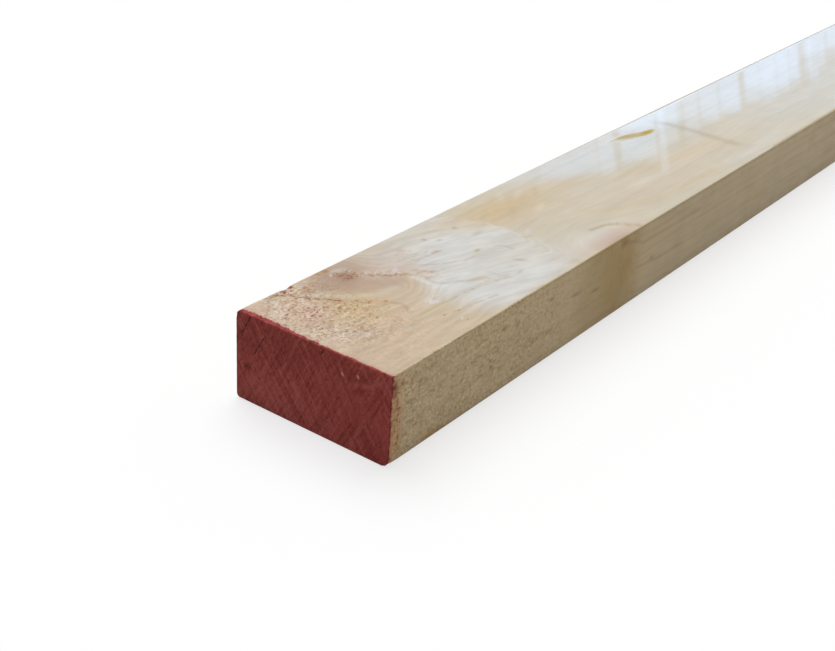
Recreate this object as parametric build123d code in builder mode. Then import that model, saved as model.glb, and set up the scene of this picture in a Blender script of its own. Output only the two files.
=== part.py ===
"""Sawn softwood roof batten, one piece of stock, lying flat on its wide face.

The row frame has its origin in the middle of the underside. +X runs along the batten away from
the colour-marked end, +Y is to the left as seen from that end, and +Z is up. Sizes are millimetres.
"""

import math
import os

from build123d import *

# Stock size, as such battens are sold
batten_length = 3600.0
batten_width = 50.0
batten_thickness = 25.0

# How far each long arris is worn round, seen from the marked end
arris_top_left = 1.5
arris_top_right = 0.3
arris_bottom_left = 1.0
arris_bottom_right = 2.1

# The marked end is sawn a little out of square: how far the cut runs off over the section
cut_skew_over_width = 0.5
cut_lean_over_thickness = 0.35

# Resin pocket opened by the saw in the top face, measured from the marked end and the left edge
pocket_length = 18.5
pocket_width = 2.6
pocket_depth = 0.4
pocket_from_end = 186.0
pocket_from_left = 8.8
pocket_turn_degrees = -13.0

# Chip torn out of the top left arris beside the first knot
chip_length = 5.0
chip_depth = 0.6
chip_from_end = 17.5

# How far a cutting shape stands past the surface that it cuts
overrun = 1.0


def lens_outline(length, width):
    """Pointed oval of two equal arcs, centred on the sketch's origin, its long way along X."""
    with BuildSketch(mode=Mode.PRIVATE) as lens:
        with BuildLine():
            ThreePointArc((-length / 2, 0), (0, width / 2), (length / 2, 0))
            ThreePointArc((length / 2, 0), (0, -width / 2), (-length / 2, 0))
        make_face()
    return lens.sketch_local


def chip_radius(length, depth):
    """Radius of the round scoop whose chord and sagitta are the chip's length and depth."""
    return (length**2 / 4 + depth**2) / (2 * depth)


marked_end_x = -batten_length / 2
left_edge_y = batten_width / 2

with BuildPart() as batten:
    # Section across the grain, with its own round on each of the four arrises
    with BuildSketch(Plane.YZ.offset(marked_end_x)) as section:
        with Locations((0, batten_thickness / 2)):
            Rectangle(batten_width, batten_thickness)
        bottom_corners, top_corners = section.vertices().group_by(Axis.Y)
        bottom_right, bottom_left = bottom_corners.sort_by(Axis.X)
        top_right, top_left = top_corners.sort_by(Axis.X)
        fillet(top_left, arris_top_left)
        fillet(top_right, arris_top_right)
        fillet(bottom_left, arris_bottom_left)
        fillet(bottom_right, arris_bottom_right)
    extrude(amount=batten_length)

    # Saw cut at the marked end: its lower right corner reaches furthest out
    run_across = cut_skew_over_width / batten_width
    run_up = cut_lean_over_thickness / batten_thickness
    cut_middle_x = marked_end_x + (cut_skew_over_width + cut_lean_over_thickness) / 2
    saw_cut = Plane(
        origin=(cut_middle_x, 0, batten_thickness / 2),
        z_dir=(1, -run_across, -run_up),
    )
    split(bisect_by=saw_cut, keep=Keep.TOP)

    # Resin pocket
    pocket_x = marked_end_x + pocket_from_end
    pocket_y = left_edge_y - pocket_from_left
    with BuildSketch(Plane.XY.offset(batten_thickness)):
        with Locations(Location((pocket_x, pocket_y), pocket_turn_degrees)):
            add(lens_outline(pocket_length, pocket_width))
    extrude(amount=-pocket_depth, mode=Mode.SUBTRACT)

    # Chip: a round scoop that runs straight across the top left arris
    scoop_radius = chip_radius(chip_length, chip_depth)
    worn_off = arris_top_left * (math.sqrt(2) - 1)
    scoop_out = (scoop_radius - chip_depth - worn_off) / math.sqrt(2)
    scoop_axis = Plane(
        origin=(marked_end_x + chip_from_end, left_edge_y + scoop_out, batten_thickness + scoop_out),
        z_dir=(0, 1, -1),
    )
    with Locations(scoop_axis):
        Cylinder(
            radius=scoop_radius,
            height=2 * (chip_depth + arris_top_left + overrun) * math.sqrt(2),
            mode=Mode.SUBTRACT,
        )

batten.part.label = "batten"

os.makedirs("parts", exist_ok=True)
export_step(batten.part, "parts/batten.step")
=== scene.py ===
"""Roof batten: one length of sawn softwood with a red-marked end, dressed as it lies on the floor.

All sizes are metres in the row frame: +X along the batten away from the marked end, +Y to the left
as seen from that end, +Z up. Tables of places, and sizes written times MM, are in millimetres.
"""

import logging
import math
from dataclasses import dataclass, field
from enum import Enum
from functools import reduce
from types import SimpleNamespace

import bpy
import numpy as np
from mathutils import Matrix, Vector

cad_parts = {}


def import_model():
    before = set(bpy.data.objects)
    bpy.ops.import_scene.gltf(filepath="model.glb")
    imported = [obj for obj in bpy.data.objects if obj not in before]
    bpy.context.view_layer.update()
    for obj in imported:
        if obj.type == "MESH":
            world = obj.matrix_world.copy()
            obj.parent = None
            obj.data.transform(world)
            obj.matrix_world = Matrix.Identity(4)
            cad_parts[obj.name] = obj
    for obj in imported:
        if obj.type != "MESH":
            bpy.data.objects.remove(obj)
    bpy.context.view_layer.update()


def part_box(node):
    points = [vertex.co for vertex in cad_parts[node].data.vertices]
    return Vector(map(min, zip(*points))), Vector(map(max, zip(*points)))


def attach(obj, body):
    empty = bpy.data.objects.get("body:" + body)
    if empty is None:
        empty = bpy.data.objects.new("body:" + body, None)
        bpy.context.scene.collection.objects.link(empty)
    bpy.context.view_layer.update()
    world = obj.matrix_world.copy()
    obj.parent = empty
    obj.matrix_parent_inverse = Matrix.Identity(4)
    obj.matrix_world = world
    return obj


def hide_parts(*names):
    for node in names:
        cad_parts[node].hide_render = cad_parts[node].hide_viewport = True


MM = 0.001
RING_PITCH = 6.1 * MM
RING_START = 0.49
LOG = logging.getLogger("batten")
WHITE = (1.0, 1.0, 1.0, 1.0)

Array = np.ndarray
Colour = tuple[float, float, float]
Rows = tuple[tuple, ...]
Socket = bpy.types.NodeSocket


class Face(Enum):
    """The four long faces and the two ends of the batten, as the skin's `side` values count them."""

    TOP = 0
    RIGHT = 1
    BOTTOM = 2
    LEFT = 3
    MARKED_END = 4
    PLAIN_END = 5


def fade(low: float, high: float, value: Array) -> Array:
    """Runs from 0 at low to 1 at high along the S-curve t*t*(3-2t).

    Args:
        low: Where the curve leaves 0. It may be the larger of the two.
        high: Where it reaches 1.
        value: The values to place on the curve.

    Returns:
        The curve's heights.
    """
    t = np.clip((value - low) / (high - low), 0.0, 1.0)
    return t * t * (3.0 - 2.0 * t)


def read_off(table: Rows, at: Array) -> Array:
    """Reads a table of places and values in millimetres, with straight runs between, at places in metres."""
    return np.interp(at / MM, *np.transpose(table)) * MM


def srgb(*screen: int) -> Colour:
    """Turns a colour as it shows on a screen, 0 to 255, into the linear one that a shader takes."""
    share = np.array(screen) / 255.0
    return tuple(np.where(share <= 0.04045, share / 12.92, ((share + 0.055) / 1.055) ** 2.4).tolist())


@dataclass
class LatticeNoise:
    """Smooth random field: random heights on a cubic lattice, blended along the S-curve between them."""

    seed: int
    cells: int = 48
    heights: Array = field(init=False)

    def __post_init__(self) -> None:
        """Draws the lattice's heights, from -1 to 1."""
        self.heights = np.random.default_rng(self.seed).uniform(-1.0, 1.0, (self.cells,) * 3)

    def __call__(self, places: Array, along: float, over: float) -> Array:
        """Reads the field.

        Args:
            places: Points, one to a row.
            along: The lattice's spacing along X, in millimetres.
            over: Its spacing along Y and Z.

        Returns:
            A height from -1 to 1 for each point.
        """
        scaled = places / (np.array([along, over, over]) * MM)
        corner = np.floor(scaled).astype(int)
        t = scaled - corner
        t = t * t * (3.0 - 2.0 * t)
        total = np.zeros(len(places))
        for step in np.ndindex(2, 2, 2):
            share = np.prod(np.where(step, t, 1.0 - t), axis=1)
            at = (corner + step) % self.cells
            total += share * self.heights[at[:, 0], at[:, 1], at[:, 2]]
        return total


@dataclass(frozen=True)
class Branch:
    """A knot: a cone of branch wood that runs out from the pith through the batten."""

    start: float
    turn: float
    lean: float
    swell: float

    @classmethod
    def through(cls, x: float, across: float, up: float, lean: float, radius: float) -> "Branch":
        """The branch whose axis passes through a point of the batten.

        Args:
            x: The point's distance from the marked end.
            across: Its distance from the pith, level.
            up: Its distance from the pith, upright.
            lean: How far the branch runs along the batten for each unit out from the pith.
            radius: Its radius there.

        Returns:
            The branch.
        """
        rho = math.hypot(across, up)
        return cls(x - lean * rho, math.atan2(up, across), lean, radius / rho)

    def reach(self, x: Array, across: Array, up: Array) -> tuple[Array, Array]:
        """How old the branch wood would be at each point, as a distance that compares with the stem's.

        With rho the distance run along the branch's direction in the section, and off the distance
        from its axis, the age is off / swell, and behind the pith it grows without limit.

        Args:
            x: Distance along the batten.
            across: Distance from the pith, level.
            up: Distance from the pith, upright.

        Returns:
            The branch's age at each point, and rho.
        """
        rho = across * math.cos(self.turn) + up * math.sin(self.turn)
        tangent = -across * math.sin(self.turn) + up * math.cos(self.turn)
        along = x - (self.start + self.lean * rho)
        off = np.sqrt(tangent**2 + along**2 / (1.0 + self.lean**2))
        return off / self.swell + 4.0 * np.clip(-rho, 0.0, None), rho


@dataclass
class Grain:
    """How the tree grew: rings about the pith, with the branches that left knots in the batten.

    The ring age at a point is its distance from the pith, pulled down smoothly to each branch's own
    age where that is less. So the rings close round a knot and the fibres sweep past it.
    """

    pith_across: float = -26.0 * MM
    pith_up: float = -11.0 * MM
    drift: float = 2.4 * MM
    drift_pace: float = 0.31
    blend: float = 2.6 * MM
    first_whorl: float = 0.46
    whorl_spacing: float = 0.36
    whorl_turns: tuple[float, ...] = (12.0, 34.0, 58.0, 84.0)
    post_stretch: float = 1.3
    posts: Rows = ((36 * MM, 13 * MM, 11.5 * MM), (104 * MM, -27 * MM, 11 * MM))
    slant: float = 0.33
    slant_start: float = 40.0 * MM
    branches: list[Branch] = field(default_factory=list)

    def plant(self, length: float) -> None:
        """Sets the two knots that the marked end shows, and whorls of others along the rest.

        Args:
            length: The batten's length.
        """
        self.branches = [
            Branch.through(35.0 * MM, 41.0 * MM, 36.0 * MM, -0.42, 10.0 * MM),
            Branch.through(104.0 * MM, 2.2 * MM, 36.0 * MM, -0.36, 9.5 * MM),
        ]
        rng = np.random.default_rng(11)
        place = self.first_whorl
        while place < length:
            for turn in rng.permutation(np.radians(self.whorl_turns))[: rng.integers(2, 4)]:
                start = place + rng.uniform(-18.0, 18.0) * MM
                swell = rng.uniform(0.09, 0.17)
                self.branches.append(Branch(start, turn + rng.normal(0.0, 0.06), -0.4, swell))
            place += self.whorl_spacing * rng.uniform(0.8, 1.2)

    def flow(self, along: Array, y: Array, near: Array) -> Array:
        """Which fibre of the top face a point lies on: fibres part round a knot as a stream round a post.

        A post of radius a at a distance r moves the fibre's number by -(y - y0) * a^2 / max(r^2, a^2).
        Past the first knot the near part's fibres run slanting to the right, the more so on the right.

        Args:
            along: Distance from the marked end.
            y: Across the batten.
            near: 1 on the near part that the saw left rough, and 0 past its step.

        Returns:
            The fibre's number, as its distance across where no knot is near.
        """
        number = y.copy()
        for x0, y0, radius in self.posts:
            distance = (along - x0) ** 2 / self.post_stretch**2 + (y - y0) ** 2
            number -= (y - y0) * radius**2 / np.maximum(distance, radius**2)
        past = np.clip(along - self.slant_start, 0.0, None)
        slanted = y + self.slant * past * (0.75 - 0.0125 * y / MM)
        share = near * fade(38 * MM, 50 * MM, along)
        return number * (1.0 - share) + slanted * share

    def read(self, places: Array, noise: LatticeNoise) -> dict[str, Array]:
        """Works out the growth at points of the batten.

        Args:
            places: Distance from the marked end, across and up, one point to a row.
            noise: A field for the rings' small waves.

        Returns:
            age, the ring age as a distance; branch, how far a point lies in branch wood, from 0 to 1;
            fibre, distance along the fibre; and around, distance round the pith.
        """
        along, y, z = places.T
        sway = self.drift * np.sin(along / self.drift_pace + 0.4) * fade(0.15, 0.6, along)
        across, up = y - self.pith_across - sway, z - self.pith_up + 0.6 * sway
        stem = np.hypot(across, up) + 0.55 * MM * noise(places, 70.0, 11.0)
        weights = np.exp(-stem / self.blend)
        nearest = np.full(len(stem), np.inf)
        outward = np.zeros(len(stem))
        for branch in self.branches:
            age, rho = branch.reach(along, across, up)
            age = age * (1.0 + 0.07 * noise(places + branch.start, 9.0, 9.0))
            weights += np.exp(-np.minimum(age / self.blend, 600.0))
            outward = np.where(age < nearest, rho, outward)
            nearest = np.minimum(nearest, age)
        inside = fade(-1.2 * self.blend, 1.6 * self.blend, stem - nearest)
        return {
            "age": -self.blend * np.log(weights),
            "branch": inside,
            "fibre": along * (1.0 - inside) + outward * inside,
            "around": stem * np.arctan2(up, across),
        }


@dataclass(frozen=True)
class Stain:
    """A soft-edged oval mark on one face, in the face's own two directions, in millimetres."""

    face: Face
    along: float
    over: float
    length: float
    width: float
    colour: Colour
    strength: float
    turn_degrees: float = 0.0
    soft: float = 0.6

    def cover(self, p: SimpleNamespace) -> Array:
        """How strongly the mark covers each point of the skin.

        The distance is 1 on the oval's rim, and the cover fades from inside the rim to outside it.

        Args:
            p: The skin's points.

        Returns:
            From 0 to the mark's strength.
        """
        c, s = math.cos(math.radians(self.turn_degrees)), math.sin(math.radians(self.turn_degrees))
        a, b = p.a / MM - self.along, p.b / MM - self.over
        rim = np.hypot((a * c + b * s) / (self.length / 2), (b * c - a * s) / (self.width / 2))
        return self.strength * fade(1.0 + self.soft, 1.0 - self.soft, rim) * (p.side == self.face.value)


@dataclass(frozen=True)
class Line:
    """A thin mark on one face, along a bent path in millimetres: a torn fibre, a crack or a ring's edge."""

    face: Face
    points: Rows
    width: float
    colour: Colour
    strength: float
    depth: float = 0.0
    broken: float = 0.0
    frayed: float = 0.0

    def cover(self, p: SimpleNamespace, gaps: Array | float) -> Array:
        """How strongly the line shows: exp(-(distance/width)^2), less where the gaps' field is low.

        Args:
            p: The skin's points.
            gaps: A random field from -1 to 1 that breaks the line up, or 1 for a whole line.

        Returns:
            From 0 to the line's strength.
        """
        nearest = np.full(len(p.a), np.inf)
        for (a0, b0), (a1, b1) in zip(self.points, self.points[1:]):
            a, b = a1 - a0, b1 - b0
            from_a, from_b = p.a / MM - a0, p.b / MM - b0
            t = np.clip((from_a * a + from_b * b) / (a * a + b * b), 0.0, 1.0)
            nearest = np.minimum(nearest, np.hypot(from_a - t * a, from_b - t * b))
        shown = 1.0 - self.broken * fade(0.25, -0.15, gaps)
        return self.strength * shown * np.exp(-((nearest / self.width) ** 2)) * (p.side == self.face.value)


@dataclass(frozen=True)
class Flecks:
    """Equal marks finer than the skin's points, on the top or the marked end, which the shader draws."""

    face: Face
    colour: Colour
    places: Rows
    strength: float
    width: float = 0.7
    stretch: float = 1.4
    turn_degrees: float = 25.0


WOOD = srgb(203, 185, 152)
# CREAM: the top's base, cooler than the sides' WOOD, partly standing in for the bluish sheen the top catches
CREAM = srgb(199, 189, 166)
# PALE: a whitish grey that stands in for the sheen of the rough near top where the pale mask lays it
PALE = srgb(209, 209, 206)
WHITE_FIBRE = srgb(218, 219, 221)
LILAC = srgb(212, 203, 207)
ROSE_GREY = srgb(186, 170, 160)
OLIVE_TAN = srgb(174, 154, 112)
TAN = srgb(199, 183, 156)
PINKISH = srgb(203, 180, 156)
KNOT_WOOD = srgb(182, 157, 138)
KNOT_HEART = srgb(158, 126, 103)
KNOT_RIM = srgb(200, 190, 180)
KNOT_BROWN = srgb(142, 94, 56)
YELLOW = srgb(196, 172, 118)
GOLDEN = srgb(200, 172, 122)
RESIN = srgb(188, 168, 104)
GOLD_RESIN = srgb(182, 158, 76)
ARRIS_GREY = srgb(100, 96, 100)
OCHRE = srgb(176, 126, 70)
UMBER = srgb(134, 90, 60)
BRICK = srgb(136, 66, 46)
GREYED = srgb(168, 160, 146)
SIDE_KNOT = srgb(172, 146, 98)
SIDE_SPECK = srgb(152, 130, 92)
SIDE_FUZZ = srgb(208, 192, 158)
SIDE_FAR = srgb(194, 177, 147)
SIDE_EDGE = srgb(132, 114, 70)
TORN_EDGE = srgb(194, 152, 116)
ROSY = srgb(190, 140, 122)
LATEWOOD = srgb(196, 172, 128)
FUZZ = srgb(214, 206, 194)
STRAW = srgb(212, 202, 176)
GREENISH = srgb(176, 168, 104)
# Painted sheen: a cool grey laid on the smooth top past the step for its reflection of the bright room
FAR_SHEEN = srgb(198, 200, 200)
PAINT = srgb(157, 73, 69)
DARK_PAINT = srgb(112, 42, 38)
PINK_PAINT = srgb(178, 98, 92)
EDGE_PAINT = srgb(126, 54, 46)
SCRATCH = srgb(84, 28, 26)

# Places across the top, or up the right side, with a value there
STEP_EDGE = ((-25, 87.6), (-15, 87.8), (-9, 88.4), (4, 89.6), (12, 88.4), (17.4, 87), (18.5, 86), (25, 85))
STEP_SOFTNESS = ((-25, 4), (-6, 3), (4, 0.9))
# Where the painted sheen of the rough near top sets in, across the top
PALE_START = ((-25, 48), (-17, 43), (-12, 43), (-8, 38), (-3, 45), (5, 52), (17, 53), (25, 58))
PAINT_ON_TOP = ((-25, 0.5), (-8, 0.5), (-5, 0.6), (0, 0.8), (5, 1.0), (10, 1.45), (23, 1.5), (25, 1.1))
PAINT_ON_RIGHT = ((0, 0.3), (8, 0.25), (15, 0.35), (20, 0.7), (25, 0.9))
# How torn the saw left each face all over, by the face's number
SAWN_WEAR = (0.0, 0.0, 0.1, 0.15, 0.25, 0.4)
# Round places on the top with loose fibres: along, over, radius, amount
FRAYED_SPOTS = ((17, 23.5, 6, 0.9), (34.5, 17, 5.5, 0.8), (41, 11, 4, 0.45))

# Stains, and FAR_SHEEN rows that paint the smooth far top's sheen, the broad ones first: along, over,
# length, width, colour, strength, turn, softness
TOP_STAINS: Rows = (
    (6, 2, 60, 84, PINKISH, 0.8, 0, 0.7), (150, -10, 130, 30, TAN, 0.55, -3, 0.7),
    (152, 14, 84, 22, FAR_SHEEN, 0.42, 0, 0.8), (152, -7.6, 15, 3, FUZZ, 0.35, -6, 0.9),
    (35, 15, 29, 25, KNOT_WOOD, 0.75, -28, 0.4), (49, 15, 13, 18, KNOT_RIM, 0.75, 0, 0.8),
    (32, 15, 13, 15, KNOT_HEART, 0.4, 20, 0.8), (36, 7.5, 14, 7, KNOT_WOOD, 0.5, -14, 0.7),
    (33.6, 16.8, 4.4, 5.6, KNOT_HEART, 0.6, 18, 0.7), (33.9, 16.6, 4.6, 3, KNOT_BROWN, 0.2, 12, 0.9),
    (48.4, 0.2, 2.2, 0.9, ROSE_GREY, 0.7, -40, 0.8), (34.8, 20.8, 4.6, 2.2, FUZZ, 0.5, -20, 0.7),
    (30.5, 18.5, 2.4, 1.6, ROSY, 0.5, 0, 0.8), (32, 22.9, 2, 1.6, OCHRE, 1, 0, 0.7),
    (29.4, 23.2, 1.4, 1.4, OCHRE, 0.8, 0, 0.7), (21, 3.5, 16, 15, YELLOW, 0.45, 20, 0.9),
    (11, 8.5, 11, 9, ROSY, 0.35, 30, 0.9), (16.2, 23.2, 2.4, 1.3, BRICK, 0.9, 6, 0.6),
    (18.7, 23.4, 1.7, 1.1, BRICK, 0.9, 0, 0.6), (60, 21, 26, 8, GREYED, 0.18, 0, 0.9),
    (105, 12, 46, 14, GOLDEN, 0.85, -6, 0.9),
    *((along, over, 8, 2, OLIVE_TAN, 0.32, turn, 0.9) for along, over, turn in ((93.3, 14, 30), (102.3,
     10.2, 40), (109.4, 11.2, 22), (119, 12.8, 38))),
    *((along, over, 7, 2.4, GOLDEN, 0.55, turn, 0.9) for along, over, turn in ((96, 12.2, 26), (99.3, 14.6,
     44), (105.8, 12.4, 20), (98, 7.5, 36))),
    *((along, over, 7, 2, STRAW, 0.5, turn, 0.9) for along, over, turn in ((113.4, 15.7, 20), (107.9, 18.5,
     40), (97.1, 24, 28), (109.8, 5.2, 16))),
    (97, 3, 12, 6, PINKISH, 0.35, 30, 0.9), (96, -16, 26, 12, PALE, 0.3, 0, 0.9),
    (120, 8, 34, 5, TAN, 0.5, -7, 0.9), (105, -18.5, 25, 6, FUZZ, 0.55, 0, 0.8),
    (105, -24, 26, 9, ROSY, 0.42, 0, 0.7), (105.5, -25, 10, 3, KNOT_HEART, 0.4, 0, 0.8),
    (71.1, 1, 2.2, 1.1, GREENISH, 1, 10, 0.6), (54, 10.1, 1.6, 0.8, GREENISH, 0.5, 5, 0.8),
    (88.6, -4.1, 3, 0.9, GREENISH, 0.6, -35, 0.8), (64, -24.6, 5, 0.8, GREENISH, 0.8, 0, 0.8),
    (45, 9.5, 5, 1.3, LILAC, 0.7, 35, 0.8), (91.7, -2.2, 3, 1.6, LILAC, 0.7, 30, 0.8),
    (37.6, -8.7, 3.4, 2.2, LILAC, 0.9, -45, 0.6), (57, -9.8, 4.6, 2.2, PINKISH, 0.45, -45, 0.8),
    (56.2, 16.2, 2.6, 1.6, ROSY, 0.35, -30, 0.8), (62.3, 8.9, 2.6, 1, ROSY, 0.7, -10, 0.7),
    (51.6, 2, 1.4, 0.9, ROSY, 0.8, -40, 0.7), (49.6, 3.8, 1.6, 0.9, ROSY, 0.6, -40, 0.7),
    (66.5, 16, 1.5, 1.2, GREYED, 0.9, 60, 0.6), (69.1, 12.8, 1.2, 1, GREYED, 0.8, 0, 0.6),
    (79.2, 14.8, 1.8, 1.3, GREYED, 0.9, 60, 0.7), (80.7, 7.7, 4.4, 1.5, GREYED, 0.5, 0, 0.9),
    (74, -11.3, 3.4, 1.6, GREYED, 0.55, -60, 0.8), (67.6, -15.4, 3, 0.9, GREYED, 0.5, 8, 0.8),
    (84, -22.6, 3, 2, TAN, 0.7, 0, 0.9), (206, 2, 5, 34, GREYED, 0.3, 0, 0.9),
    # Painted sheen of the smooth far top
    (330, 0, 190, 60, FAR_SHEEN, 0.6, 0, 0.4),
)
# The two lobes of dried resin that fill the pocket
RESIN_STAINS: Rows = (
    (185.8, 16.5, 13.5, 2.8, RESIN, 0.8, -23, 0.6), (193.6, 14.2, 8.8, 2.8, GOLD_RESIN, 0.95, 0, 0.6),
)
# Where short fibres stand up, paler than the wood round them
FUZZ_STAINS: Rows = (
    (40.2, 11.4, 11, 5.5, FUZZ, 0.6, -42, 0.7), (49.5, 3, 10, 5, FUZZ, 0.45, -42, 0.8),
    (58, 12, 16, 7, FUZZ, 0.3, -20, 0.9), (37.5, -8.3, 6, 3, FUZZ, 0.6, 12, 0.8),
)
RIGHT_STAINS: Rows = (
    (101, 15, 34, 60, SIDE_KNOT, 0.55, 0, 0.5), (106, 16, 18, 34, SIDE_KNOT, 0.75, 12, 0.8),
    (108.5, 23, 3.4, 2.2, BRICK, 0.5, 0, 0.9), (111, 15.5, 5, 3, OCHRE, 0.35, 30, 0.9),
    (1.2, 11, 6, 34, TORN_EDGE, 0.8, 0, 0.75), (2.6, 15.4, 1.6, 0.9, BRICK, 0.9, -20, 0.7),
    (1.3, 21.8, 1.6, 2.6, EDGE_PAINT, 0.9, 0, 0.7), (1.6, 19.2, 1, 1.4, EDGE_PAINT, 0.8, 0, 0.7),
    (16.8, 2, 9, 2, OCHRE, 0.65, 0, 0.9), (47, 19.4, 2.4, 1.4, UMBER, 0.5, 0, 0.8),
    (53, 18.2, 1.8, 1.6, UMBER, 0.5, 0, 0.8), (69.3, 19.3, 2, 1, UMBER, 0.7, 0, 0.8),
    (41.8, 10, 1.6, 1.4, UMBER, 0.5, 0, 0.8), (82.4, 16, 4, 1, UMBER, 0.5, -4, 0.9),
    (93.5, 13.3, 4, 1, UMBER, 0.5, -2, 0.9), (127, 12, 2.4, 1.2, UMBER, 0.4, 0, 0.9),
)
END_STAINS: Rows = (
    (9, 20, 32, 13, DARK_PAINT, 0.45, -6, 0.8), (-17, 20, 16, 8, DARK_PAINT, 0.52, 6, 0.8),
    (13, 4, 26, 13, PINK_PAINT, 0.5, 4, 0.9), (-22, 21, 4, 3, PINK_PAINT, 0.5, 40, 0.9),
    (-2.5, 16, 5, 6, PINK_PAINT, 0.35, 30, 0.9), (-15.5, 18.8, 7, 1.4, PINK_PAINT, 0.6, -18, 0.9),
    (21.3, 10, 2.4, 2, DARK_PAINT, 0.9, 0, 0.8), (22.5, 20, 4, 7, DARK_PAINT, 0.4, 20, 0.9),
    (-16, 6, 6, 4, DARK_PAINT, 0.3, 0, 0.9),
)

CRACK = ((12.5, 23.6), (14.9, 20.6), (16.1, 18.7), (16.9, 16.8), (17.8, 15.2), (19.5, 13.2),
         (21.2, 10.3), (22, 8.9))
RIM = ((38, 13.8), (42, 8), (45.2, 5.7), (47, 3.8), (48.3, 2.2), (47.5, 0.3))
KNOT_EDGE = ((105, -15), (112, -16.4), (115.5, -19), (117.5, -22.5), (119.4, -25.2))

# Thin marks: path, width, colour, strength, depth, how broken, how frayed
TOP_LINES: Rows = (
    (((20.5, 16), (22.8, 12), (26.5, 7.5), (31, 4.4), (37, 3.2)), 1.5, STRAW, 0.5),
    (((14.5, 23.4), (18.3, 17.2), (21.4, 12.4), (23.4, 9.4)), 0.55, FUZZ, 0.8, 0, 0.9),
    (CRACK, 0.9, OCHRE, 0.4, 0, 0.5, 1),
    (CRACK, 0.45, UMBER, 0.35, 0.04, 1),
    (((22, 8.9), (26, 4), (29.5, 0.2)), 1.2, OCHRE, 0.2, 0, 0.8, 0.7),
    (((37.6, 13.8), (39.5, 11.7), (41, 9.9), (42.8, 7.8)), 0.5, OCHRE, 0.6, 0.05, 0.8, 0.8),
    (RIM, 0.5, UMBER, 0.25, 0.05, 0.95),
    (((53.8, 8.3), (56.6, 8.3), (59.2, 6.6), (61.3, 3.3)), 1.3, WHITE_FIBRE, 0.5),
    (((50.9, 5.9), (53.7, 2.9), (54.1, 1)), 0.8, LILAC, 0.5),
    (((45.4, 3.5), (45.2, 0.8), (45.5, -1.8)), 0.9, WHITE_FIBRE, 0.5),
    (((44.4, -4), (49, -7), (51.4, -8.7)), 0.7, WHITE_FIBRE, 0.45),
    (((51.8, -1.4), (56.8, -4.9)), 1.1, WHITE_FIBRE, 0.4),
    (((41.9, 9.1), (45.4, 6.4), (48.2, 6.3), (50, 4.4), (51.4, 1.9)), 0.5, KNOT_BROWN, 0.4, 0, 0.6),
    (((47.8, 2.8), (46.4, -1.9), (47, -3.5), (49.2, -5.4), (51.6, -6.5), (53.8, -8.4), (58.4, -10.9)),
     0.45, GREYED, 0.5, 0.02, 0.5),
    (((53.3, 8.8), (55.8, 9.4), (59.3, 8.7), (64.2, 8.3)), 0.4, GREYED, 0.45, 0, 0.5),
    (((52.3, 6.9), (55.2, 4.7), (56.9, 3), (61.8, 0.8), (63, -0.5), (69.7, -0.5)), 0.5, ROSE_GREY, 0.55, 0,
     0.5),
    (((61.6, -8), (61.7, -12.1), (63, -14.4)), 0.4, GREYED, 0.3),
    (((77.1, -0.9), (78.8, -2.7), (78.9, -5.5)), 0.45, GREYED, 0.4),
    (((47.2, -11.7), (54.4, -12.9), (62.1, -14.9), (64.4, -15.9)), 0.45, OLIVE_TAN, 0.5, 0, 0.6),
    (((14, -24.7), (95, -24.7)), 0.35, STRAW, 0.6),
    (((29.8, -1.6), (31, -3.5), (30.2, -5.8), (28.3, -7.8)), 0.5, UMBER, 0.35, 0.08, 0.4),
    (((2, 16.8), (4.7, 18.6), (9.7, 22.3), (12.3, 23.7)), 0.4, BRICK, 0.55, 0.03, 0.5),
    (((0.6, -11.4), (16, -11.2), (31, -11)), 0.3, GREENISH, 0.3, 0, 0.8),
    (((30.5, -11), (38.4, -11.2), (44, -11.5)), 0.38, GREENISH, 0.75, 0, 0.3),
    (((44, -11.5), (50, -12), (60, -11.8)), 0.35, GREENISH, 0.4, 0, 0.9),
    (((32.7, -14.8), (34.9, -15.8), (41, -16.8), (48, -18), (52, -18.7)), 0.35, OLIVE_TAN, 0.55, 0, 0.8),
    (((118, 10.6), (139, 8.7), (149, 6.9), (161, 2.5), (174, 0.5), (183, -1.6)), 0.7, TAN, 0.6),
    (((132, 9), (148, 1), (172, -4.3), (203, -7.7)), 3, GOLDEN, 0.28),
    (((107, -3.4), (120.5, -6), (134, -8.7), (154, -14)), 0.8, TAN, 0.5),
    (((117, -8), (129, -15), (146, -18), (178, -19.8)), 1.6, GOLDEN, 0.25),
    (((187, -19.7), (202, -21), (228, -18.8)), 2.4, PALE, 0.35),
    (((216, -0.6), (241, -0.8), (264, -5), (293, -3)), 2.6, TAN, 0.3),
    (KNOT_EDGE, 0.8, OLIVE_TAN, 0.8, 0.04, 0.1),
    (((205.4, 16), (206.6, 9), (206.2, 0), (205, -14)), 1.9, OLIVE_TAN, 0.6, 0, 0.1),
)
RIGHT_LINES: Rows = (
    (((26, 24.7), (45, 24.6), (420, 24.6)), 0.4, SIDE_EDGE, 0.35, 0, 0.2),
    (((6, 1.2), (420, 1.2)), 0.8, SIDE_EDGE, 0.5, 0, 0.3),
    (((54, 10.9), (62, 10.4), (71, 10)), 0.4, UMBER, 0.3, 0.02, 0.3),
    (((111, 22.6), (120, 19.4), (140, 19), (157.5, 18.8)), 0.6, UMBER, 0.3, 0.02, 0.2),
    (((117.5, 11.9), (132, 10.6), (147.5, 10.5)), 0.5, UMBER, 0.3, 0.02, 0.2),
)
END_LINES: Rows = (
    (((23.6, 20.8), (19.8, 20.1)), 0.5, PINK_PAINT, 0.3),
    (((-5.3, 6.5), (-1.5, 1.1)), 0.45, SCRATCH, 0.6, 0.05, 0.3),
)

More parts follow.
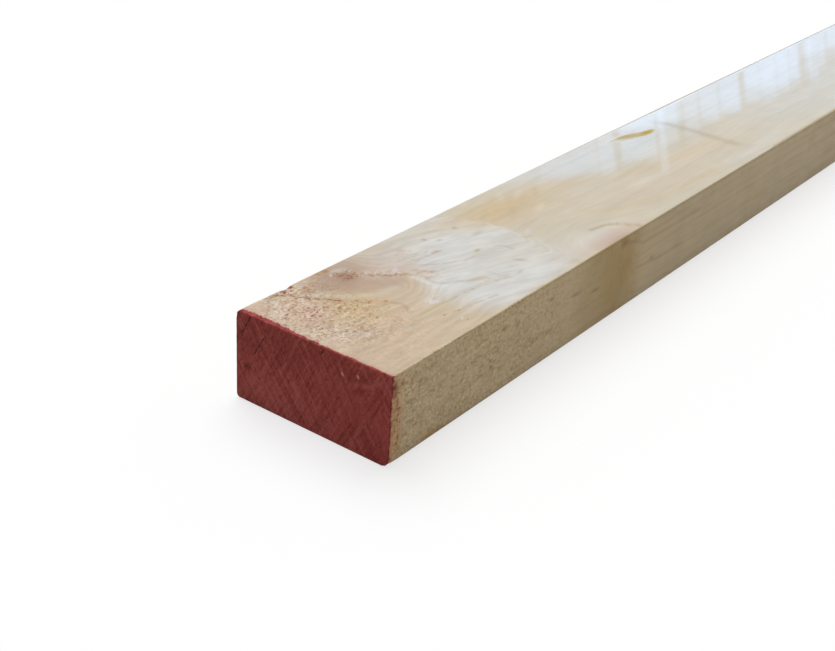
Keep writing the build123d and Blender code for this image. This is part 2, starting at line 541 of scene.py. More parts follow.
# Splinters, specks, scratches and bare spots: colour, places, strength, width, stretch, turn
TOP_FLECKS: Rows = (
    (OCHRE, ((19.9, 4.6), (20.5, 3.1), (22.6, 4), (24.6, 5.9), (26, 3), (29.3, 0.2), (14.6, -4.2), (16.2,
     -3.2), (21.4, -1.2), (16.8, 9.5), (18.2, 6.6), (21.7, 7.2), (24, 1.2)), 0.8, 0.8),
    (BRICK, ((11.6, 8.7), (12.2, 7.2), (9.4, 9.8), (5.6, 12.7), (2.7, 6.8), (13.8, 9.4), (15.8, 22.4),
     (18.6, 23), (33.3, 18.5), (32.9, 15.7)), 0.6),
    (UMBER, ((12.4, 11.4), (12.3, 3.1), (27.2, -2.5), (21, -3.6), (33.1, -15.4), (38.1, -16.5), (35.5,
     -20.9), (29.4, -8.3)), 0.55, 0.6),
    (KNOT_BROWN, ((34.1, 16.9), (33.8, 15.2), (35.6, 16), (32.2, 18.4), (34, 18.1), (36.6, 16.6), (37.8,
     15), (40.1, 11.3), (43.6, 8.1)), 0.55, 0.7, 2),
    (WHITE_FIBRE, ((35, -19.6), (18.3, 21.5), (20.9, 21.3), (31.2, 20.2), (38.9, 14.4), (40.6, 12.8),
     (36.9, 18.4)), 0.5, 0.5, 3.4),
    (UMBER, ((12.9, 23.1), (14.1, 21.5), (15.6, 19.4), (16.6, 17.4), (17.4, 15.6), (18.9, 13.7), (20.6,
     11.1), (21.7, 9.3)), 0.9, 0.5, 3, -56),
)
END_FLECKS: Rows = (
    (SCRATCH, ((20.5, 23.6), (21.5, 21.7), (22.6, 19.6), (15.9, 19.4), (17.1, 17.5), (18.3, 15.4), (21.6,
     10.2), (-3.4, 23.2)), 1, 0.42, 5.5, -60),
    (SCRATCH, ((7.8, 16.9), (9.4, 15.3), (11.2, 13.2), (12.9, 11.2), (8.6, 18.7)), 0.5, 0.4, 5.5, -48),
    (DARK_PAINT, ((14.9, 19.3), (13.5, 17.7)), 0.7, 0.4, 5.5, 48),
    (PINK_PAINT, ((14.5, 21.1), (13.4, 19.8), (12.5, 18.5)), 0.5, 0.45, 4, 53),
    (ROSY, ((-9.8, 19.9), (-14.6, 21)), 0.9, 0.75, 1.3, 60),
)

# Bright panes: left, right and upper edge in degrees, glow, distance
PANES: Rows = (
    (17.24, 20.03, 14.4, 0.5, 9.4), (19.67, 22.18, 16.2, 0.6, 9.5), (21.98, 24.75, 17.8, 0.6, 9.6),
    (24.55, 31, 18.96, 1.3, 9.4), (17.24, 18.9, 14.1, 0.6), (18.79, 19.1, 15.1, 0.65),
    (18.95, 19.34, 15.75, 0.65), (19.36, 19.64, 15.3, 0.6), (19.81, 20.18, 15.8, 0.6),
    (20.13, 20.64, 16.3, 0.75), (20.6, 21.3, 16.75, 0.8), (21.3, 21.94, 17, 0.75),
    (22.12, 22.99, 17.5, 0.75), (22.94, 23.78, 18.1, 0.8), (23.73, 24.42, 18.7, 0.8),
    (24.6, 25.46, 19.3, 0.65, 8.8), (24.9, 25.27, 20.5, 0.8, 8.8), (25.5, 27.19, 20.1, 1.1, 8.8),
    (27.38, 28.11, 20.8, 1, 8.8), (28.15, 31, 21.1, 0.95, 8.8), (31, 33.5, 21.6, 0.7, 8.8),
)


@dataclass
class Section:
    """The batten's section across the grain, with its own round on each of the four arrises."""

    width: float
    thickness: float
    round_top_left: float = 1.5 * MM
    round_top_right: float = 0.3 * MM
    round_bottom_right: float = 2.1 * MM
    round_bottom_left: float = 1.0 * MM
    split: int = 3

    def loop(self) -> dict[str, Array]:
        """Points round the section, clockwise as seen from the marked end, from the top left corner.

        Each stretch is a straight run or a quarter circle with its own number of equal steps, and each
        of those steps is divided again by split, so that every split-th point makes the coarse loop.

        Returns:
            y, z, the outward normal's out_y and out_z, side, the face's number, and run, the distance
            gone round, which has one more value than the others.
        """
        left, right, top = self.width / 2, -self.width / 2, self.thickness
        tl, tr = self.round_top_left, self.round_top_right
        br, bl = self.round_bottom_right, self.round_bottom_left
        flats = (
            ((left - tl, top), (right + tr, top), 40, Face.TOP),
            ((right, top - tr), (right, br), 20, Face.RIGHT),
            ((right + br, 0.0), (left - bl, 0.0), 8, Face.BOTTOM),
            ((left, bl), (left, top - tl), 6, Face.LEFT),
        )
        rounds = (
            ((right + tr, top - tr), tr, 90.0, 1, Face.RIGHT),
            ((right + br, br), br, 180.0, 2, Face.RIGHT),
            ((left - bl, bl), bl, 270.0, 1, Face.LEFT),
            ((left - tl, top - tl), tl, 360.0, 2, Face.TOP),
        )
        stretches = []
        for ((y0, z0), (y1, z1), steps, face), arris in zip(flats, rounds):
            t = np.linspace(0.0, 1.0, steps * self.split, endpoint=False)
            reach = math.hypot(y1 - y0, z1 - z0)
            out_y, out_z = (z1 - z0) / reach, (y0 - y1) / reach
            stretches.append((y0 + (y1 - y0) * t, z0 + (z1 - z0) * t, out_y, out_z, face.value))
            (cy, cz), radius, start, steps, face = arris
            t = np.linspace(0.0, 1.0, steps * self.split, endpoint=False)
            out_y, out_z = np.cos(np.radians(start + 90.0 * t)), np.sin(np.radians(start + 90.0 * t))
            stretches.append((cy + radius * out_y, cz + radius * out_z, out_y, out_z, face.value))
        columns = [np.stack(np.broadcast_arrays(*stretch)) for stretch in stretches]
        y, z, out_y, out_z, side = np.concatenate(columns, axis=1)
        run = np.concatenate([[0.0], np.cumsum(np.hypot(np.roll(y, -1) - y, np.roll(z, -1) - z))])
        return {"y": y, "z": z, "out_y": out_y, "out_z": out_z, "side": side, "run": run}


def stations(start: float, stop: float, spacing: Array) -> Array:
    """Places from start to stop whose gaps follow a wanted spacing.

    The count of gaps up to a place is the integral of 1/spacing, so the places are where it takes
    whole values.

    Args:
        start: First place.
        stop: Last place.
        spacing: Pairs of a place and the gap wanted there, with straight lines between them.

    Returns:
        The places, both ends included.
    """
    x = np.linspace(start, stop, 40001)
    density = 1.0 / np.interp(x, *np.transpose(spacing))
    count = np.concatenate([[0.0], np.cumsum((density[1:] + density[:-1]) / 2 * np.diff(x))])
    return np.interp(np.linspace(0.0, count[-1], math.ceil(count[-1]) + 1), count, x)


@dataclass
class Batten:
    """The batten as one closed skin: rings of points across the grain, and a cap on each end.

    Rings near the marked end take every point of the section's loop, and the others every third one.
    """

    length: float
    section: Section
    grain: Grain
    skew: float = 0.5 * MM
    lean: float = 0.35 * MM
    cut_reach: float = 12.0 * MM
    end_round: float = 0.15 * MM
    fine_length: float = 210.0 * MM
    fine_spacing: Rows = (
        (0, 0.6), (58, 0.6), (64, 0.95), (90, 0.95), (98, 1.8), (172, 1.8),
        (177, 0.9), (197, 0.9), (202, 1.6),
    )
    whorl_gap: float = 3.6 * MM
    plain_gap: float = 20.0 * MM
    pocket_place: tuple[float, float] = (186.0 * MM, 16.2 * MM)
    pocket_size: tuple[float, float, float] = (18.5 * MM, 2.6 * MM, 0.15 * MM)
    pocket_turn_degrees: float = -13.0
    chip_place: float = 17.5 * MM
    chip_length: float = 5.0 * MM
    chip_depth: float = 0.6 * MM
    chatter_pitch: float = 6.0 * MM
    saw_line_place: float = 206.0 * MM
    cap_rings: tuple[int, int] = (44, 10)
    points: SimpleNamespace = field(default_factory=SimpleNamespace)
    rings: dict[str, Array] = field(default_factory=dict)

    def ring_places(self) -> tuple[Array, Array]:
        """Where the fine and the coarse rings are, closer together where there is more to show.

        Returns:
            The fine rings' places, and the coarse rings'.
        """
        fine = stations(self.end_round, self.fine_length, np.array(self.fine_spacing) * MM)
        spacing = [(self.fine_length, 3.0 * MM), (0.42, 3.0 * MM)]
        whorls = sorted(branch.start for branch in self.grain.branches[2:])
        for place in np.arange(0.44, self.length, 4 * MM):
            close = any(-34 * MM < place - whorl < 14 * MM for whorl in whorls)
            spacing.append((float(place), self.whorl_gap if close else self.plain_gap))
        coarse = stations(self.fine_length, self.length - self.end_round, np.array(spacing))
        return fine, coarse[1:]

    def lay_out(self) -> None:
        """Places every point before any relief.

        The rounded edge of an end is a quarter circle: at angle t it lies end_round*(1-cos t) in
        from the end's plane and end_round*(1-sin t) in from the long faces. A cap's rings are its edge
        shrunk towards its middle, down to one point.
        """
        loop = self.section.loop()
        fine, coarse = self.ring_places()
        quarter = np.radians([0.0, 30.0, 60.0])
        edge = self.end_round * (1.0 - np.stack([np.cos(quarter), np.sin(quarter)], 1))
        marked, plain = self.cap_rings
        split, middle = self.section.split, self.section.thickness / 2
        table = [(0.0, share, 1, Face.MARKED_END) for share in np.linspace(0.0, 1.0, marked + 1)[:-1] ** 0.9]
        table += [(place, inset, 1, None) for place, inset in edge]
        table += [(place, 0.0, 1, None) for place in fine]
        table += [(place, 0.0, split, None) for place in coarse]
        table += [(self.length - place, inset, split, None) for place, inset in edge[::-1]]
        table += [(self.length, 1.0 - share, split, Face.PLAIN_END)
                  for share in np.linspace(0.0, 1.0, plain + 1)[1:]]
        rings = []
        for place, amount, step, face in table:
            y, z, out_y, out_z, side = (loop[name][::step] for name in ("y", "z", "out_y", "out_z", "side"))
            if face is None:
                ring = (place, y - amount * out_y, z - amount * out_z, 0.0, out_y, out_z, side)
            else:
                n = len(y) if amount > 0.0 else 1
                y, z = (y - self.end_round * out_y)[:n], (z - self.end_round * out_z)[:n]
                out_x = -1.0 if face is Face.MARKED_END else 1.0
                ring = (place, amount * y, middle + amount * (z - middle), out_x, 0.0, 0.0, face.value)
            rings.append(np.stack(np.broadcast_arrays(*ring)))
        names = ("along", "y", "z", "ox", "oy", "oz", "side")
        self.points = SimpleNamespace(**dict(zip(names, np.concatenate(rings, axis=1))))
        sizes = np.array([ring.shape[1] for ring in rings])
        self.rings = {
            "size": sizes,
            "first": np.concatenate([[0], np.cumsum(sizes)[:-1]]),
            "along": np.array([row[0] for row in table]),
            "cap": np.array([row[3] is not None for row in table]),
        }

    def dress(self) -> None:
        """Works out the growth, the wear and the colour at every point, for the relief and the shader.

        Marks are placed by two directions, a and b: along and over each point's own face.
        """
        p = self.points
        p.places = np.stack([p.along, p.y, p.z], 1)
        p.top, p.right = p.side == Face.TOP.value, p.side == Face.RIGHT.value
        p.on_end = p.side >= Face.MARKED_END.value
        p.a = np.where(p.on_end, p.y, p.along)
        p.b = np.where(p.top | (p.side == Face.BOTTOM.value), p.y, p.z)
        broad, small = LatticeNoise(3), LatticeNoise(5)
        vars(p).update(self.grain.read(p.places, broad))
        self.wear(broad, small)
        self.colour(broad, small)
        self.finish()

    def wear(self, broad: LatticeNoise, small: LatticeNoise) -> None:
        """Works out where the saw left the wood rough, torn or frayed, and where the rough near top is
        painted pale to stand in for its whitish sheen, each from 0 to 1.

        Args:
            broad: A random field.
            small: Another one.
        """
        p = self.points
        step = read_off(STEP_EDGE, p.y) + 0.5 * MM * broad(p.places + 0.4, 4, 2.5)
        p.near = fade(1.0, -1.0, (p.along - step) / read_off(STEP_SOFTNESS, p.y)) * p.top
        # Painted sheen: how strongly the rough near top is laid with whitish PALE, standing in for the sheen
        # it catches
        pale = p.near * fade(-9 * MM, 6 * MM, p.along - read_off(PALE_START, p.y))
        pale = pale * fade(-29 * MM, -20 * MM, p.y) * (1.0 - 0.4 * fade(12 * MM, 20 * MM, p.y))
        pale = pale * (0.92 + 0.12 * broad(p.places, 9, 9))
        p.pale = pale * (1.0 - 0.5 * fade(68 * MM, 88 * MM, p.along) * fade(-7 * MM, -20 * MM, p.y))
        worn = fade(-13 * MM, 4 * MM, p.y + 0.45 * p.along)
        torn = fade(34 * MM, 14 * MM, p.along) * (0.22 + 0.78 * worn) * p.top
        torn = torn + 0.85 * fade(106 * MM, 46 * MM, p.along) * p.right
        torn = torn + np.array(SAWN_WEAR)[p.side.astype(int)]
        for row in FUZZ_STAINS:
            torn = torn + Stain(Face.TOP, *row).cover(p)
        whole = Stain(Face.TOP, 3.5, 22.5, 13, 7, WOOD, 0.75, 34).cover(p)
        torn = torn * (0.75 + 0.35 * broad(p.places, 6, 5)) * (1.0 - whole)
        p.torn = np.clip(torn, 0.0, 1.0)
        p.speck = fade(0.22, 0.5, small(p.places + 0.2, 1.2, 0.9)) * p.torn
        p.wisp = fade(0.2, 0.5, small(p.places + 0.5, 1.3, 0.8)) * p.torn
        p.fray = 0.78 * p.torn * p.top * worn + 0.75 * fade(5.2 * MM, 3.2 * MM, p.along) * p.right
        for x0, y0, radius, amount in FRAYED_SPOTS:
            distance = np.hypot(p.along - x0 * MM, p.y - y0 * MM)
            p.fray = np.maximum(p.fray, amount * fade(radius * MM, 0.35 * radius * MM, distance) * p.top)
        # Sunk scars on the right side; the umber laid on them in colour() is partly painted shade in them
        scars = fade(0.45, 0.62, small(p.places + 1.3, 1.3, 0.6)) * p.right
        p.scars = scars * fade(115 * MM, 40 * MM, p.along) * fade(3 * MM, 9 * MM, p.z)
        p.arris = p.top * fade(23.7 * MM, 24.4 * MM, p.y) * fade(125 * MM, 175 * MM, p.along)

    def lay(self, colour: Colour | Array, cover: Array) -> None:
        """Lays one colour, or one for each point, over the tint, as strongly as its cover says."""
        share = np.clip(cover, 0.0, 1.0)[:, None]
        self.points.tint = self.points.tint * (1.0 - share) + np.array(colour) * share

    def colour(self, broad: LatticeNoise, small: LatticeNoise) -> None:
        """Lays the colours over each other, and notes how deep the thin marks are cut.

        Args:
            broad: A random field.
            small: Another one.
        """
        p = self.points
        # Painted sheen, partly: the top starts from CREAM, cooler than the sides' WOOD, for the sheen it
        # catches
        p.tint = np.where(p.top[:, None], np.array(CREAM), np.array(WOOD))
        self.lay(TAN, p.near)
        self.lay(SIDE_FAR, fade(100 * MM, 150 * MM, p.along) * p.right)
        p.tint[p.side == Face.MARKED_END.value] = PAINT
        # Painted sheen on the rough near top
        self.lay(PALE, p.pale)
        for face, rows, share in (
            (Face.TOP, TOP_STAINS, 1.0), (Face.RIGHT, RIGHT_STAINS, 1.0), (Face.MARKED_END, END_STAINS, 1.0),
            (Face.TOP, FUZZ_STAINS, 0.6), (Face.TOP, RESIN_STAINS, 1.0),
        ):
            for mark in (Stain(face, *row) for row in rows):
                self.lay(mark.colour, share * mark.cover(p))
        blotches = small(p.places + 0.9, 2.6, 1.5) + broad(p.places + 0.7, 5, 3)
        p.tint = p.tint * (1.0 + (0.028 + 0.056 * p.torn) * p.near * blotches)[:, None]
        clouds = broad(p.places + 1.1, 34, 6) * (1.0 - p.near) * p.top
        p.tint = p.tint * (1.0 + 0.03 * clouds)[:, None] ** np.array([1.0, 1.1, 1.7])
        # Dark specks on the sunk torn spots are partly their colour and partly painted shade in the pits;
        # light ones on the raised wisps are partly painted highlight
        hue = fade(-0.4, 0.1, small(p.places, 4, 4))[:, None]
        right = p.right[:, None]
        dark = np.where(right, np.array(SIDE_SPECK), np.array(OCHRE) * hue + np.array(ROSY) * (1 - hue))
        self.lay(dark, np.where(p.right, 0.35, 0.52) * p.speck * ~p.on_end)
        light = np.where(right, np.array(SIDE_FUZZ), np.array(FUZZ))
        self.lay(light, np.where(p.right, 0.3, 0.45) * p.wisp * ~p.on_end)
        gaps = small(p.places, 0.9, 0.9)
        p.groove = 0.06 * MM * p.scars
        for face, rows in ((Face.TOP, TOP_LINES), (Face.RIGHT, RIGHT_LINES), (Face.MARKED_END, END_LINES)):
            for line in (Line(face, *row) for row in rows):
                cover = line.cover(p, gaps)
                self.lay(line.colour, cover)
                p.groove = p.groove + line.depth * MM * cover
                p.fray = np.maximum(p.fray, line.frayed * line.cover(p, 1.0))
        downy = p.torn * p.top * fade(-18 * MM, -2 * MM, p.y) * fade(26 * MM, 8 * MM, p.along)
        self.lay(FUZZ, 0.34 * downy)
        # Painted shade, partly: the sunk scars are darkened with umber
        self.lay(UMBER, 0.3 * p.scars)
        self.lay(KNOT_WOOD, 0.8 * p.branch * fade(0.25, 0.35, p.along))
        self.lay(ARRIS_GREY, 0.85 * p.arris)
        p.tint[~p.on_end & (p.along < 2 * self.end_round)] = PAINT

    def finish(self) -> None:
        """Works out how rough and how dull each point is, how deep in the paint, and what fibre it is on."""
        p = self.points
        p.flow = np.where(p.top, self.grain.flow(p.along, p.y, p.near), p.age + 0.3 * p.around)
        in_from_end = np.minimum(p.along, self.length - p.along)
        p.endgrain = np.where(p.on_end, 1.0, fade(0.9 * self.end_round, 0.1 * self.end_round, in_from_end))
        p.rim = (p.top & ~p.on_end).astype(float)
        resin = np.maximum.reduce([Stain(Face.TOP, *row).cover(p) for row in RESIN_STAINS])
        pocket = fade(-1.3 * MM, -0.5 * MM, self.lens_half_width(p))
        bend = fade(23.2 * MM, 23.7 * MM, p.y)
        p.dull = np.where(p.top, np.maximum.reduce([resin, bend, pocket]), 1.0)
        p.rough = np.where(p.top, 0.45 + 0.3 * p.torn + 0.15 * resin + 0.35 * p.arris, 0.55 + 0.15 * p.torn)
        margin = np.where(p.top, read_off(PAINT_ON_TOP, p.y), 0.8 * MM)
        margin = np.where(p.right, read_off(PAINT_ON_RIGHT, p.z), margin)
        p.paint = np.where(p.on_end, 5.0 * MM, margin - p.along)
        p.paint[p.side == Face.PLAIN_END.value] = -1.0

    def relief(self) -> Array:
        """How far each point is sunk below the clean surface, as a sum of the marks' depths.

        Returns:
            The depths, nowhere less than zero.
        """
        p = self.points
        fuzz, pits, broad = LatticeNoise(7), LatticeNoise(8), LatticeNoise(9)
        fibre = 1.0 + fuzz(p.places, 1.3, 0.8)
        ragged = 1.0 + pits(p.places + 0.1, 1.5, 1.1)
        sunk = p.torn * 0.07 * MM * fibre + 0.13 * MM * p.speck + 0.09 * MM * (p.torn - p.wisp)
        sunk = sunk * np.where(p.right, 0.4 * fade(0.5 * MM, 5 * MM, p.z), 0.7)
        sunk += 0.0015 * MM * (1.0 + broad(p.places, 90, 16))
        sunk += p.groove + 0.03 * MM * p.near
        sunk += 0.010 * MM * p.pale * (1.0 + np.sin(2.0 * math.pi * p.along / self.chatter_pitch))
        saw_line = np.exp(-(((p.along - self.saw_line_place) / (1.8 * MM)) ** 2))
        sunk += 0.006 * MM * saw_line * fade(17 * MM, 13 * MM, np.abs(p.y)) * p.top
        sunk += 0.2 * MM * fade(4.5 * MM, 0.3 * MM, p.along) * ragged * p.right
        sunk += 0.06 * MM * fade(2.0 * MM, 0.0, p.along) * ragged * p.top
        edge = np.abs(0.5 - np.mod(p.age / RING_PITCH - RING_START, 1.0)) * 2.0
        sunk += p.endgrain * 0.03 * MM * (fibre + fade(1.0, 0.6, edge))
        return sunk + self.pocket_size[2] * fade(-0.1 * MM, 0.5 * MM, self.lens_half_width(p)) * p.top

    def lens_half_width(self, p: SimpleNamespace) -> Array:
        """How far inside the resin pocket's pointed outline each point is: sqrt(R^2-u^2)-(R-w/2)-|v|.

        Here u and v run along and across the pocket, w is its width and R its arcs' radius.

        Args:
            p: The skin's points.

        Returns:
            The distance, less than zero outside.
        """
        length, width, _ = self.pocket_size
        turn = math.radians(self.pocket_turn_degrees)
        a, b = p.along - self.pocket_place[0], p.y - self.pocket_place[1]
        u = a * math.cos(turn) + b * math.sin(turn)
        v = b * math.cos(turn) - a * math.sin(turn)
        radius = (length**2 / 4 + width**2 / 4) / width
        return np.sqrt(np.clip(radius**2 - u**2, 0.0, None)) - (radius - width / 2) - np.abs(v)

    def coordinates(self) -> Array:
        """The points' places in the row frame, with the slanted cut, the relief and the chip.

        Points outside the chip's round scoop are pulled back to it, square to the arris.

        Returns:
            x, y and z, one point to a row.
        """
        p = self.points
        cut = (self.skew + self.lean) / 2 + self.skew * p.y / self.section.width
        cut += self.lean * (p.z / self.section.thickness - 0.5)
        x = -self.length / 2 + p.along + cut * (1.0 - fade(0.0, self.cut_reach, p.along))
        sunk = self.relief()
        x, y, z = x - sunk * p.ox, p.y - sunk * p.oy, p.z - sunk * p.oz
        radius = (self.chip_length**2 / 4 + self.chip_depth**2) / (2 * self.chip_depth)
        worn = self.section.round_top_left * (math.sqrt(2) - 1)
        outward = (y - self.section.width / 2 + z - self.section.thickness) / math.sqrt(2)
        reach = np.sqrt(np.clip(radius**2 - (p.along - self.chip_place) ** 2, 0.0, None))
        scoop = radius - self.chip_depth - worn - reach
        excess = np.clip(outward - scoop, 0.0, None) / math.sqrt(2)
        return np.stack([x, y - excess, z - excess], 1)

    def corners(self) -> list[Array]:
        """Joins each ring to the next, by quads where both have as many points, else by triangles.

        Returns:
            Every face as its corners' ring and place in that ring: first the quads.
        """
        size = self.rings["size"]
        quads, triangles = [], []
        for ring, (n, following) in enumerate(zip(size[:-1], size[1:])):
            few = min(n, following)
            j = np.arange(few if few > 1 else max(n, following))
            here, there = np.full_like(j, ring), np.full_like(j, ring + 1)
            if n == following:
                quads.append([(here, j), (here, j + 1), (there, j + 1), (there, j)])
            elif n == 1:
                triangles.append([(here, 0 * j), (there, j + 1), (there, j)])
            elif following == 1:
                triangles.append([(here, j), (here, j + 1), (there, 0 * j)])
            else:
                k = j * self.section.split
                triangles.append([(here, k), (here, k + 1), (there, j)])
                triangles.append([(here, k + 1), (here, k + 2), (there, j)])
                triangles.append([(here, k + 2), (there, j + 1), (there, j)])
                triangles.append([(here, k + 2), (here, k + 3), (there, j + 1)])
        return [
            np.concatenate([np.stack([np.stack(corner, 1) for corner in face], 1) for face in faces])
            for faces in (quads, triangles)
        ]

    def bake_map(self, corners: Array) -> Array:
        """Where each face corner lies on the flat map: the long faces in four lanes, the ends beside them.

        Args:
            corners: Ring and place in the ring, for each corner of each face.

        Returns:
            The two map coordinates of each corner.
        """
        ring, column = corners[..., 0], corners[..., 1]
        size = self.rings["size"]
        run = self.section.loop()["run"]
        step = np.where(size == size.max(), 1, self.section.split)
        run_at = run[np.minimum(column * step[ring], len(run) - 1)]
        starts = np.array([0.0, 0.345, 1.43, 2.515])
        scale = np.array([2.75, 0.88, 0.88, 0.88])
        bottom = np.array([0.01, 0.44, 0.59, 0.74])
        place = self.rings["along"][ring]
        lane = np.searchsorted(starts, place[:, :1], side="right") - 1
        u = 0.01 + scale[lane] * (place - starts[lane])
        v = bottom[lane] + scale[lane] * run_at
        vertex = self.rings["first"][ring] + column % size[ring]
        y, z = self.points.y[vertex], self.points.z[vertex]
        on_cap = self.rings["cap"][ring].any(axis=1, keepdims=True)
        marked = place[:, :1] < self.length / 2
        cap_scale = np.where(marked, scale[0], scale[1])
        u = np.where(on_cap, np.where(marked, 0.01, 0.3) + cap_scale * (y + self.section.width / 2), u)
        v = np.where(on_cap, 0.89 + cap_scale * z, v)
        return np.stack([u, v], -1)

    def build(self) -> bpy.types.Object:
        """Makes the mesh with its attributes and its bake map.

        Returns:
            The object, at the origin.
        """
        self.lay_out()
        self.dress()
        places = self.coordinates()
        first, size = self.rings["first"], self.rings["size"]
        vertices, maps, counts = [], [], []
        for faces in self.corners():
            ring, column = faces[..., 0], faces[..., 1]
            vertices.append((first[ring] + column % size[ring]).ravel())
            maps.append(self.bake_map(faces).reshape(-1, 2))
            counts.append(np.full(len(faces), faces.shape[1]))
        counts = np.concatenate(counts)
        starts = np.cumsum(counts) - counts
        mesh = bpy.data.meshes.new("batten_skin")
        mesh.vertices.add(len(places))
        mesh.vertices.foreach_set("co", places.ravel())
        mesh.loops.add(int(counts.sum()))
        mesh.loops.foreach_set("vertex_index", np.concatenate(vertices).astype(np.int32))
        mesh.polygons.add(len(starts))
        mesh.polygons.foreach_set("loop_start", starts.astype(np.int32))
        mesh.polygons.foreach_set("use_smooth", np.ones(len(starts), dtype=bool))
        mesh.uv_layers.new(name="OFBake").data.foreach_set("uv", np.concatenate(maps).ravel())
        p = self.points
        for name in ("branch", "paint", "torn", "endgrain", "rough", "dull", "near", "rim", "flow", "fray"):
            layer = mesh.attributes.new(name, "FLOAT", "POINT")
            layer.data.foreach_set("value", vars(p)[name].astype(np.float32))
        growth = np.stack([p.fibre, p.age, p.around], 1)
        mesh.attributes.new("growth", "FLOAT_VECTOR", "POINT").data.foreach_set("vector", growth.ravel())
        tint = np.concatenate([p.tint, np.ones((len(places), 1))], 1)
        mesh.attributes.new("tint", "FLOAT_COLOR", "POINT").data.foreach_set("color", tint.ravel())
        mesh.update(calc_edges=True)
        mesh.validate()
        LOG.info("batten skin: %d points, %d triangles", len(places), (counts - 2).sum())
        item = bpy.data.objects.new("batten_skin", mesh)
        bpy.context.collection.objects.link(item)
        return item


class Nodes:
    """Short ways to add and join the nodes of one material's or world's tree."""

    def __init__(self, owner: bpy.types.ID) -> None:
        """Starts the owner's tree empty.

        Args:
            owner: The material or the world.
        """
        owner.use_nodes = True
        self.tree = owner.node_tree
        self.tree.nodes.clear()

    def add(self, kind: str, inputs: dict | None = None, **settings: object) -> bpy.types.Node:
        """Adds a node.

        Args:
            kind: The node's type name, less its first words.
            inputs: Values or sockets for its inputs, by name or number.
            settings: Its own properties.

        Returns:
            The node.
        """
        node = self.tree.nodes.new("ShaderNode" + kind)
        for name, value in settings.items():
            setattr(node, name, value)
        for name, value in (inputs or {}).items():
            if isinstance(value, Socket):
                self.tree.links.new(value, node.inputs[name])
            else:
                node.inputs[name].default_value = value
        return node

    def attribute(self, name: str, output: str = "Fac") -> Socket:
        """Reads one of the mesh's own attributes."""
        return self.add("Attribute", attribute_name=name).outputs[output]

    def math(self, operation: str, a: object, b: object = 0.0) -> Socket:
        """One sum on one or two numbers."""
        return self.add("Math", {0: a, 1: b}, operation=operation).outputs[0]

    def times(self, *values: object) -> Socket:
        """The product of two or more numbers."""
        return reduce(lambda a, b: self.math("MULTIPLY", a, b), values)

    def plus(self, *values: object) -> Socket:
        """The sum of two or more numbers."""
        return reduce(lambda a, b: self.math("ADD", a, b), values)

    def ramp(self, value: object, low: float, high: float, start: object = 0.0, end: object = 1.0) -> Socket:
        """Runs from start to end as the value goes from low to high, along an S-curve."""
        inputs = {"Value": value, "From Min": low, "From Max": high, "To Min": start, "To Max": end}
        return self.add("MapRange", inputs, interpolation_type="SMOOTHSTEP").outputs["Result"]

    def by(self, name: str, off: object, on: object) -> Socket:
        """Runs from off to on as one of the mesh's own attributes goes from 0 to 1."""
        return self.ramp(self.attribute(name), 0.0, 1.0, off, on)

    def vector(self, operation: str, a: object, b: object) -> Socket:
        """One sum on two vectors, or on their distance from each other."""
        outputs = self.add("VectorMath", {0: a, 1: b}, operation=operation).outputs
        return outputs["Value" if operation == "DISTANCE" else "Vector"]

    def scaled(self, vector: object, factors: object) -> Socket:
        """Multiplies a vector by one factor for each direction, or by one number."""
        return self.vector("MULTIPLY", vector, factors)

    def turned(self, place: object, angle: float, axis: str) -> Socket:
        """Turns a vector about one axis."""
        return self.add("VectorRotate", {"Vector": place, "Angle": angle}, rotation_type=axis).outputs[0]

    def noise(
        self, vector: object, scale: float = 1.0, detail: float = 2.0, distortion: float = 0.0,
        output: str = "Fac",
    ) -> Socket:
        """Smooth random field from 0 to 1."""
        inputs = {"Vector": vector, "Scale": scale, "Detail": detail, "Distortion": distortion}
        return self.add("TexNoise", inputs).outputs[output]

    def mix(self, factor: object, a: object, b: object, blend: str = "MIX") -> Socket:
        """Mixes two colours."""
        inputs = {0: factor, 6: a, 7: b}
        return self.add("Mix", inputs, data_type="RGBA", blend_type=blend, clamp_factor=True).outputs[2]


def solid(colour: Colour) -> tuple[float, float, float, float]:
    """A colour with full alpha."""
    return (*colour, 1.0)


